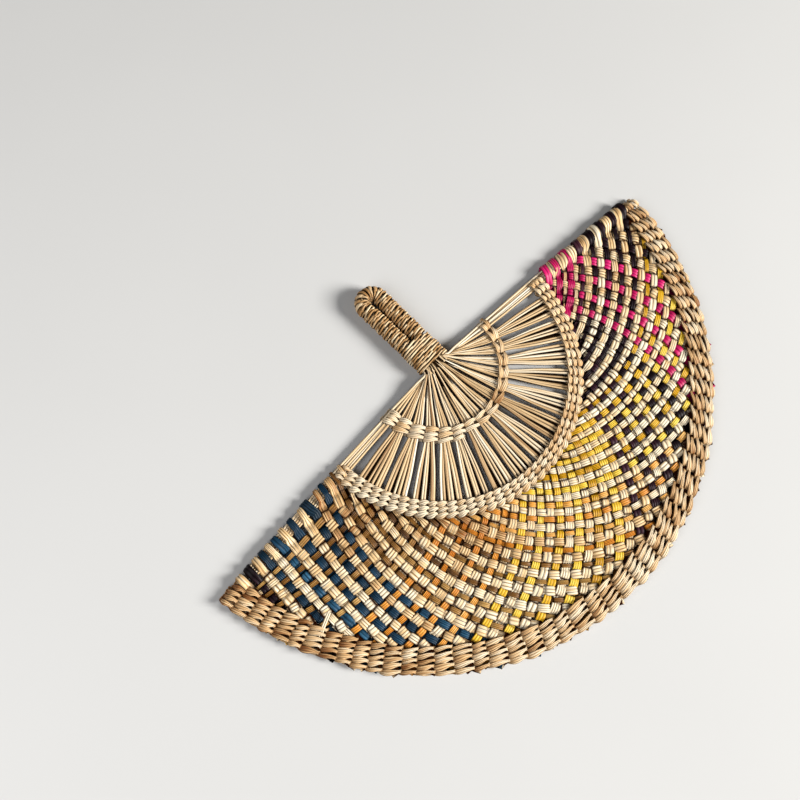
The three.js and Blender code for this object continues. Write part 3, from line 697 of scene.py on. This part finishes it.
edges = {
    "offsets": [-2.9, -1.45, 0, 1.45, 2.9], "width": 1.75, "thickness": 1.3, "tones": (0.3, 1),
    "gathered": 0.75, "layer": 0.35, "from": 100, "to": 172, "step": 8, "sway": 0.3, "swayLength": 25,
}
for side, name in [(1, "right"), (-1, "left")]:
    mesh = newMesh()
    degrees = leaf["edgeSlope"] if side == 1 else 180 - leaf["edgeSlope"]
    heading = ray(degrees)
    across = Vector((heading.y, -heading.x, 0))
    for at, offset in enumerate(edges["offsets"]):
        layer = edges["layer"] * (-1) ** at
        offsets = (offset * edges["gathered"], offset)
        points = [station[0] for station in spokeStations(degrees, offsets, layer, draw)]
        sway = draw.uniform(-edges["sway"], edges["sway"])
        for reach in range(edges["from"], edges["to"], edges["step"]):
            spot = neck + heading * reach + across * (offset + sway * math.sin(reach / edges["swayLength"]))
            points.append(Vector((spot.x, spot.y, leaf["strawsHeight"])))
        stations = [(point, upright, edges["width"], edges["thickness"], 0) for point in points]
        layStraw(mesh, stations, edgeStrawSection, draw.uniform(*edges["tones"]))
    finishPiece(f"{name}EdgeStraws", mesh, naturalStraw, [f"edge_straws_{name}"])
print("edge straws laid")


plainRow = {  # what a row has unless its own settings say otherwise
    "loose": 1, "bunched": 0, "drift": 0, "wander": 0, "closing": 0, "middle": 0,
    "rightSlant": 1, "rightShift": 0, "rightTone": 0, "leftTone": 0, "right": {}, "columns": None,
}
rows = {
    "seed": 23,
    "stitch": {
        "steps": 10, "spare": 4, "uneven": 0.07, "wide": 0.96, "wideSpread": 0.18, "outSpread": 0.3,
        "liftSpread": 0.16, "endLength": 0.5, "endDrop": 1.9, "endWidth": 0.8, "tilt": 0.12,
        "swellPower": 0.7, "farSpan": (0.45, 1), "farLess": 0.3, "gapSpan": (0.04, 0.34), "closeWithin": 7,
        "wanderAngles": (4.3, 2.2), "wanderLead": 0.3,
        "rightPart": (72, 98), "rightHalf": (95, 125), "leftPart": (110, 165),  # degrees
    },
    "arc": dict(
        plainRow, radii=[40.35, 43.35], width=3.5, waist=2, thickness=1.5, rise=2.3, slant=0.6,
        fullness=0.7, lead=0.4, point=1.3, gapDark=0.85, farDark=0.25, tipPale=0.2,
        tones=[0.5, 1.1, 0.95], rightTone=-0.3,
        rightSlants=[0.9, -0.9], rightShifts=[0, 0.25]),  # on the right the two rows make a chain
    "half": {"radius": 46.35, "from": 119},
    "band": dict(
        plainRow, radii=[84.45, 87.65, 90.85], width=4, waist=1.3, thickness=1.6, rise=2.3, slant=0.9,
        fullness=0.65, lead=0.45, point=1.5, gapDark=0.6, farDark=0.3, tipPale=0.3,
        tones=[0.5, 1.1, 0.95], rightTone=-0.22, leftTone=0.12, perBundle=3),
    "rim": dict(
        plainRow, radii=[171.43, 174.48, 177.53, 180.58, 183.63], width=3.75, waist=1.6, thickness=1.6,
        rise=2.4, slant=0.95, fullness=0.6, lead=0.45, point=1.5, gapDark=0.7, farDark=0.3, tipPale=0.5,
        tones=[0.2, 1.05, 0.75], rightTone=-0.08, leftTone=-0.32, rightSlant=1.3,
        right={"waist": 1.5, "width": 3.3, "fullness": 0.45, "rise": 2.2},
        stitches=54, columnSpread=0.13, bunched=0.025, drifts=[0, -0.16, -0.08, -0.3, -0.2],
        closing=0.3, middle=176, wander=0.25, loose=1.5, pastEdge=3.5,
        lastRow={"slant": 0.55, "width": 3.5}),  # it lies flatter along the rim
}


# two strands cross between the straws, so that each stands in front of every second one
def twinedRow(name, centre, radius, start, end, stitches, look, draw, nodes, stagger=0):
    mesh = newMesh()
    stitch = rows["stitch"]
    rightLook = dict(look, **look["right"])
    firstWander, nextWander = stitch["wanderAngles"]
    columns = look["columns"] or [0] * (stitches + 1)
    uneven = [column + draw.uniform(-stitch["uneven"], stitch["uneven"]) for column in columns] + [0]
    for strand in range(2):
        stations, tones = [], []
        jitter = [
            (stitch["wide"] + stitch["wideSpread"] * look["loose"] * draw.uniform(-1, 1),
             draw.uniform(-1, 1), draw.uniform(-1, 1), draw.triangular(*look["tones"]))
            for each in range(stitches + stitch["spare"])
        ]
        for step in range(stitches * stitch["steps"] + 1):
            along = step / stitch["steps"]
            column, within = divmod(along, 1)
            share = (along + mix(uneven[int(column)], uneven[int(column) + 1], within)) / stitches
            share -= look["bunched"] * math.sin(2 * math.pi * share)  # stitches are longer in the middle
            degrees = mix(start, end, share)
            atRight = 1 - ease(degrees, *stitch["rightPart"])
            atLeft = ease(degrees, *stitch["leftPart"])
            offRight = ease(degrees, *stitch["rightHalf"])
            place = along + look["drift"] * atRight
            phase = math.pi * (place - 0.5 + stagger + strand)
            early = math.cos(phase + look["lead"])  # the near end of a stitch lies over the one before it
            wide, out, lift, tone = jitter[int(place)]
            ending = ease(min(along, stitches - along), 0, stitch["endLength"])
            reach = radius + look["slant"] * mix(look["rightSlant"], 1, offRight) * math.sin(phase)
            reach += stitch["outSpread"] * look["loose"] * out * abs(math.cos(phase))
            reach += look["rightShift"] * (1 - offRight)
            wander = math.sin(degrees / nextWander + stitch["wanderLead"] * radius)
            reach += look["wander"] * (math.sin(degrees / firstWander) + wander)
            closing = look["closing"] * (1 - ease(degrees, start, start + stitch["closeWithin"]))
            spot = centre + ray(degrees) * mix(reach, look["middle"], closing)
            fullness = mix(look["fullness"], rightLook["fullness"], atRight)
            rise = mix(look["rise"], rightLook["rise"], atRight) + stitch["liftSpread"] * lift
            rise *= math.copysign(abs(early) ** fullness, early) * ending
            height = leaf["strawsHeight"] + rise - stitch["endDrop"] * (1 - ending)
            swell = max(0, math.sin(math.pi * (place % 1) ** look["point"]))  # pointed at the near end
            waist = mix(look["waist"], rightLook["waist"], atRight)
            full = mix(look["width"], rightLook["width"], atRight) * wide
            width = mix(waist, full, swell ** stitch["swellPower"])
            width *= mix(stitch["endWidth"], 1, ending) * (1 - closing)
            # painted shade: the far end of each stitch, which sinks under the next, and the gaps where the
            # strands cross are darkened
            far = ease(place % 1, *stitch["farSpan"]) * look["farDark"] * (1 - stitch["farLess"] * atRight)
            shade = max(look["gapDark"] * (1 - ease(abs(early), *stitch["gapSpan"])), far)
            facing = upright + ray(degrees) * stitch["tilt"]
            stations.append((Vector((spot.x, spot.y, height)), facing, width, look["thickness"], shade))
            # painted highlight and shade: the near tip, which stands highest, is toned paler and the far end
            # darker
            tone += look["tipPale"] * (0.5 - place % 1)
            tones.append(tone + look["rightTone"] * atRight + look["leftTone"] * atLeft)
        layStraw(mesh, stations, stitchSection, tones)
    finishPiece(name, mesh, twinedStraw, nodes)


draw = random.Random(rows["seed"])
slope = leaf["edgeSlope"]
arcEnd = 180 - slope + bundleStep / 2
arcRow = rows["arc"]
for at, radius in enumerate(arcRow["radii"]):
    look = dict(arcRow, rightSlant=arcRow["rightSlants"][at], rightShift=arcRow["rightShifts"][at])
    twinedRow(f"innerArcRow{at + 1}", neck, radius, slope - bundleStep / 2, arcEnd, leaf["bundles"] + 2,
              look, draw, [f"arc_row_{at + 1}_front", f"arc_row_{at + 1}_back"], at)
halfStart = slope + (round((rows["half"]["from"] - slope) / bundleStep) - 0.5) * bundleStep
halfStitches = round((arcEnd - halfStart) / bundleStep)
twinedRow("innerHalfRow", neck, rows["half"]["radius"], halfStart, arcEnd, halfStitches,
          arcRow, draw, ["half_arc_row_front", "half_arc_row_back"])
perBundle = rows["band"]["perBundle"]
strawStep = bundleStep / perBundle
for at, radius in enumerate(rows["band"]["radii"]):
    twinedRow(f"bandRow{at + 1}", neck, radius, slope - strawStep / 2, 180 - slope + strawStep / 2,
              perBundle * (leaf["bundles"] + 1) + 1, rows["band"], draw,
              [f"band_row_{at + 1}_front", f"band_row_{at + 1}_back"], at)
rim = rows["rim"]
columns = [draw.uniform(-rim["columnSpread"], rim["columnSpread"]) for stitch in range(rim["stitches"] + 1)]
for at, radius in enumerate(rim["radii"]):
    lift = (leaf["neckDrop"] * math.cos(math.radians(slope)) - rim["pastEdge"]) / radius
    start = slope + math.degrees(math.asin(lift))
    look = dict(rim, columns=columns, drift=rim["drifts"][at])
    if radius == rim["radii"][-1]:
        look.update(rim["lastRow"])
    twinedRow(f"rimRow{at + 1}", rimCentre, radius, start, 180 - start, rim["stitches"], look, draw,
              [f"rim_row_{at + 1}_front", f"rim_row_{at + 1}_back"], at)
print("twined rows laid")


handle = {
    "seed": 31,
    "axisHeight": 6, "legOffset": 5.75, "legRadius": 5.6, "legTurns": 18, "legPitch": 1.87,
    "bendOffset": 6.2, "bendRadius": 5.3, "bendTurns": 4.5, "easeTurns": 6,
    "collarStart": -7, "collarTurns": 10, "collarPitch": 1.75,
    "cordHalf": 0.95, "leastRoom": 0.7, "stepsPerTurn": 40,
    "plyThickness": 1.3, "plyOffset": 0.5, "plyShare": 0.86, "plyApart": 0.13, "plyDark": 1,
    "twist": 10.5, "twistDrifts": [(2.1, 17, 0), (1.7, 7.3, 1)],  # (size, length, lead) of its unevenness
    "swell": 0.1, "swellLength": 5.1,
    "paleness": 0.56, "streak": 0.17, "streaks": [(2.9, 1), (7.7, 4)],  # (length, lead)
    "slack": (-0.4, 0.2), "jogs": [(0.25, 4.1), (0.2, 14.7)], "jogLead": 9,  # (size, rate)
    "hiddenSteps": 24, "sunk": 1.6, "sunkTurns": (-0.6, -0.2),  # the cord starts out of sight in the collar
}
collarEnd = handle["collarStart"] + handle["collarTurns"] * handle["collarPitch"]
legStart = collarEnd + (handle["collarPitch"] + handle["legPitch"]) / 2
bendY = rimCentre.y + legStart + handle["legTurns"] * handle["legPitch"]


def legPlace(turn):  # centre of the left leg, the way out from the loop's middle, and the winding's radius
    if turn <= handle["legTurns"]:
        share = ease(turn, handle["legTurns"] - handle["easeTurns"], handle["legTurns"])
        x = -mix(handle["legOffset"], handle["bendOffset"], share)
        y = rimCentre.y + legStart + turn * handle["legPitch"]
        radius = mix(handle["legRadius"], handle["bendRadius"], share)
        return Vector((x, y, handle["axisHeight"])), Vector((-1, 0, 0)), radius
    angle = (turn - handle["legTurns"]) / handle["bendTurns"] * math.pi / 2
    away = Vector((-math.cos(angle), math.sin(angle), 0))
    centre = Vector((0, bendY, handle["axisHeight"])) + away * handle["bendOffset"]
    return centre, away, handle["bendRadius"]


# two plies twist round each other along spots of place, way out, way forward and room for the cord
def twoPly(mesh, spots, look):
    length = 0
    plies = [[], []]
    paleness = [[], []]
    for at, (point, radial, forward, room) in enumerate(spots):
        if at:
            length += (point - spots[at - 1][0]).length
        drift = sum(size * math.sin(length / span + lead) for size, span, lead in look["twistDrifts"])
        for ply in range(2):
            angle = drift - 2 * math.pi * length / look["twist"] + math.pi * ply
            offset = forward * math.cos(angle) * room * look["plyApart"]
            offset += radial * math.sin(angle) * look["plyOffset"]
            # painted shade on the side of each ply that turns inward, under its neighbour
            shade = look["plyDark"] * max(0, -math.sin(angle))
            swell = look["swell"] * math.sin(length / look["swellLength"] + 2 * ply)
            width = room * (look["plyShare"] + swell)
            plies[ply].append((point + offset, radial, width, look["plyThickness"], shade))
            streak = sum(math.sin(length / span + lead * ply) for span, lead in look["streaks"])
            paleness[ply].append(look["paleness"] + look["streak"] * streak)
    for stations, tones in zip(plies, paleness):
        layStraw(mesh, stations, plySection, tones)


def legSpots(draw):
    turns = handle["legTurns"] + handle["bendTurns"]
    count = round(turns * handle["stepsPerTurn"])
    slack = [draw.uniform(*handle["slack"]) for turn in range(int(turns) + 2)]
    spots = []
    for step in range(-handle["hiddenSteps"], count + 1):
        turn = step / handle["stepsPerTurn"]
        centre, away, radius = legPlace(turn)
        angle = turn * 2 * math.pi
        radial = away * math.cos(angle) + upright * math.sin(angle)
        forward = Vector((away.y, -away.x, 0))
        sag = mix(slack[int(turn)], slack[int(turn) + 1], max(turn, 0) % 1)
        sunk = handle["sunk"] * (1 - ease(turn, *handle["sunkTurns"]))
        jog = sum(size * math.sin(turn * rate + lead * handle["jogLead"])
                  for (size, rate), lead in zip(handle["jogs"], slack))
        point = centre + radial * (radius - handle["cordHalf"] + sag - sunk) + forward * jog
        room = handle["legPitch"]
        if turn > handle["legTurns"]:
            room = (handle["bendOffset"] + math.cos(angle) * radius) * math.pi / 2 / handle["bendTurns"]
        spots.append((point, radial, forward, max(handle["leastRoom"], room)))
    return spots


draw = random.Random(handle["seed"])
turnOver = Matrix.Rotation(math.pi, 3, "Y")
axisLift = Vector((0, 0, handle["axisHeight"]))
for name in ["left", "right"]:
    mesh = newMesh()
    spots = legSpots(draw)
    if name == "right":
        spots = [(turnOver @ (point - axisLift) + axisLift, turnOver @ radial, turnOver @ forward, room)
                 for point, radial, forward, room in spots]
    twoPly(mesh, spots, handle)
    finishPiece(f"{name}LegWinding", mesh, spunCord, [f"handle_winding_{name}"])

collar = dict(
    handle, twist=17, plyShare=0.84, plyDark=0.8, paleness=0.64, steps=64,
    wobbles=[(0.14, 5.1), (0.1, 13.7)], slant=0.3, slantRates=(4.3, 1.7))
mesh = newMesh()
spots = []
straight = 2 * collar["legOffset"]
arc = math.pi * (collar["legRadius"] - collar["cordHalf"])
for step in range(collar["collarTurns"] * collar["steps"] + 1):
    turn = step / collar["steps"]
    way = turn % 1 * 2 * (straight + arc)
    y = rimCentre.y + collar["collarStart"] + turn * collar["collarPitch"]
    y += collar["slant"] * math.prod(math.sin(turn * rate) for rate in collar["slantRates"])
    if way < arc:
        angle, x = math.pi / 2 - way / arc * math.pi, collar["legOffset"]
    elif way < arc + straight:
        angle, x = -math.pi / 2, collar["legOffset"] - (way - arc)
    elif way < 2 * arc + straight:
        angle, x = -math.pi / 2 - (way - arc - straight) / arc * math.pi, -collar["legOffset"]
    else:
        angle, x = math.pi / 2, -collar["legOffset"] + (way - 2 * arc - straight)
    radial = Vector((math.cos(angle), 0, math.sin(angle)))
    wobble = sum(size * math.sin(turn * rate) for size, rate in collar["wobbles"])
    reach = collar["legRadius"] - collar["cordHalf"] + wobble
    point = Vector((x, y, collar["axisHeight"])) + radial * reach
    spots.append((point, radial, Vector((0, 1, 0)), collar["collarPitch"]))
twoPly(mesh, spots, collar)
finishPiece("collarWinding", mesh, spunCord, ["collar_winding"])

core = {
    "straws": 7, "ring": 2.0, "thickness": 1.7, "footY": -11,
    "legStep": 3, "bendSteps": 6, "tones": (0.1, 0.6),
}
foot = legPlace(0)[0] + Vector((0, core["footY"] - legStart, 0))
half = [(foot, Vector((-1, 0, 0)))]
half += [legPlace(turn)[:2] for turn in range(0, handle["legTurns"], core["legStep"])]
half += [legPlace(handle["legTurns"] + handle["bendTurns"] * step / core["bendSteps"])[:2]
         for step in range(core["bendSteps"] + 1)]
mirror = Vector((-1, 1, 1))
loopLine = half + [(point * mirror, away * mirror) for point, away in half[-2::-1]]
mesh = newMesh()
for at in range(core["straws"]):
    angle = 2 * math.pi * at / (core["straws"] - 1)
    ring = core["ring"] if at < core["straws"] - 1 else 0  # the last straw lies in the middle
    stations = []
    for point, away in loopLine:
        out = away * math.cos(angle) + upright * math.sin(angle)
        stations.append((point + out * ring, upright, core["thickness"], core["thickness"], 0))
    layStraw(mesh, stations, plySection, draw.uniform(*core["tones"]))
finishPiece("handleCoreStraws", mesh, naturalStraw, ["handle_core"])
print("handle wound")


# matt studio paper: pale, evenly lit, a little mottled so that it isn't one flat value
sheet = {"size": 4, "dark": "#C9C9C9", "pale": "#CECECE", "mottles": 6, "detail": 2, "roughness": 0.9}
paper = bpy.data.materials.new("mattStudioPaper")
paper.use_nodes = True
paperTree = paper.node_tree
paperPlace = addNode(paperTree, "ShaderNodeTexCoord")
paperNoise = addNode(paperTree, "ShaderNodeTexNoise",
                     values={"Scale": sheet["mottles"], "Detail": sheet["detail"]},
                     links={"Vector": paperPlace.outputs["Object"]})
paperRamp = addNode(paperTree, "ShaderNodeValToRGB", links={0: paperNoise.outputs[0]})
paperRamp.color_ramp.elements[0].color = linear(sheet["dark"])
paperRamp.color_ramp.elements[1].color = linear(sheet["pale"])
paperShader = paperTree.nodes["Principled BSDF"]
paperTree.links.new(paperRamp.outputs[0], paperShader.inputs["Base Color"])
paperShader.inputs["Roughness"].default_value = sheet["roughness"]

mesh = bmesh.new()
bmesh.ops.create_grid(mesh, x_segments=1, y_segments=1, size=sheet["size"])
floorData = bpy.data.meshes.new("studioFloor")
mesh.to_mesh(floorData)
mesh.free()
floorData.materials.append(paper)
floor = bpy.data.objects.new("studioFloor", floorData)
bpy.context.scene.collection.objects.link(floor)

light = {
    "key": {"place": (1.48, -2.06, 1.53), "size": 1.1, "power": 170, "colour": "#FFFDF8"},
    "fill": {"place": (-0.73, 0.14, 0.68), "size": 0.7, "power": 4.9, "colour": "#FFFFFF"},
    "sky": {"colour": "#F4F4F4", "strength": 0.08},
}
bpy.context.scene.view_settings.view_transform = "Standard"
for name in ["key", "fill"]:
    lamp = bpy.data.lights.new(name, "AREA")
    lamp.energy = light[name]["power"]
    lamp.size = light[name]["size"]
    lamp.color = linear(light[name]["colour"])[:3]
    lampObject = bpy.data.objects.new(name, lamp)
    lampObject.location = light[name]["place"]
    lampObject.rotation_euler = (-Vector(light[name]["place"])).to_track_quat("-Z", "Y").to_euler()
    bpy.context.scene.collection.objects.link(lampObject)
sky = bpy.data.worlds.new("studioSky")
sky.use_nodes = True
skyShader = sky.node_tree.nodes["Background"]
skyShader.inputs["Color"].default_value = linear(light["sky"]["colour"])
skyShader.inputs["Strength"].default_value = light["sky"]["strength"]
bpy.context.scene.world = sky

view = {
    "place": (-152.4, -53.7, 447.6),  # from the rim's centre
    "right": (0.69296, -0.71145, 0.11681), "upward": (0.67162, 0.69590, 0.25427),
    "lens": 34.6, "sensor": 36, "nearest": 0.01,
}
right = Vector(view["right"])
upward = Vector(view["upward"])
backward = right.cross(upward)
eye = bpy.data.cameras.new("photoEye")
eye.lens = view["lens"]
eye.sensor_width = view["sensor"]
eye.clip_start = view["nearest"]
eyeObject = bpy.data.objects.new("photoEye", eye)
turned = Matrix((right, upward, backward)).transposed().to_4x4()
eyeObject.matrix_world = Matrix.Translation((Vector(view["place"]) + rimCentre) * mm) @ turned
bpy.context.scene.collection.objects.link(eyeObject)
bpy.context.scene.camera = eyeObject
print("floor, light and camera set")
